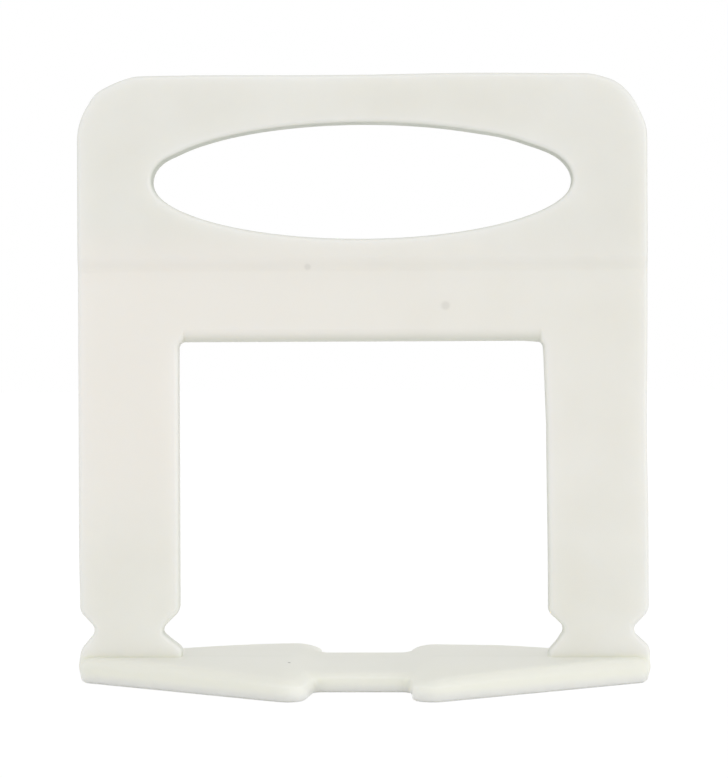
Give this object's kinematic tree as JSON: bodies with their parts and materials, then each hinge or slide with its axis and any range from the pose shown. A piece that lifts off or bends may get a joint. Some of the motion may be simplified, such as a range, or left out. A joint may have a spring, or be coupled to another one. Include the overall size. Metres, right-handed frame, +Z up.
{
  "type": "tile levelling clip",
  "caption": "One-piece break-away clip: a notched frame with a grip hole and a wedge window stands on a flat foot plate that goes under two neighbouring tiles.",
  "frame": {"origin": "centre of the foot plate's flat underside, midway between the legs", "axes": "+Z up along the legs, X along the frame's width, Y through the joint between the tiles"},
  "size_m": [0.0582, 0.0276, 0.0617],
  "materials": {
    "natural_polypropylene": "milky, half-translucent natural polypropylene with a soft moulded sheen"
  },
  "bodies": {
    "root": {"levelling_clip": "natural_polypropylene"}
  },
  "joints": []
}
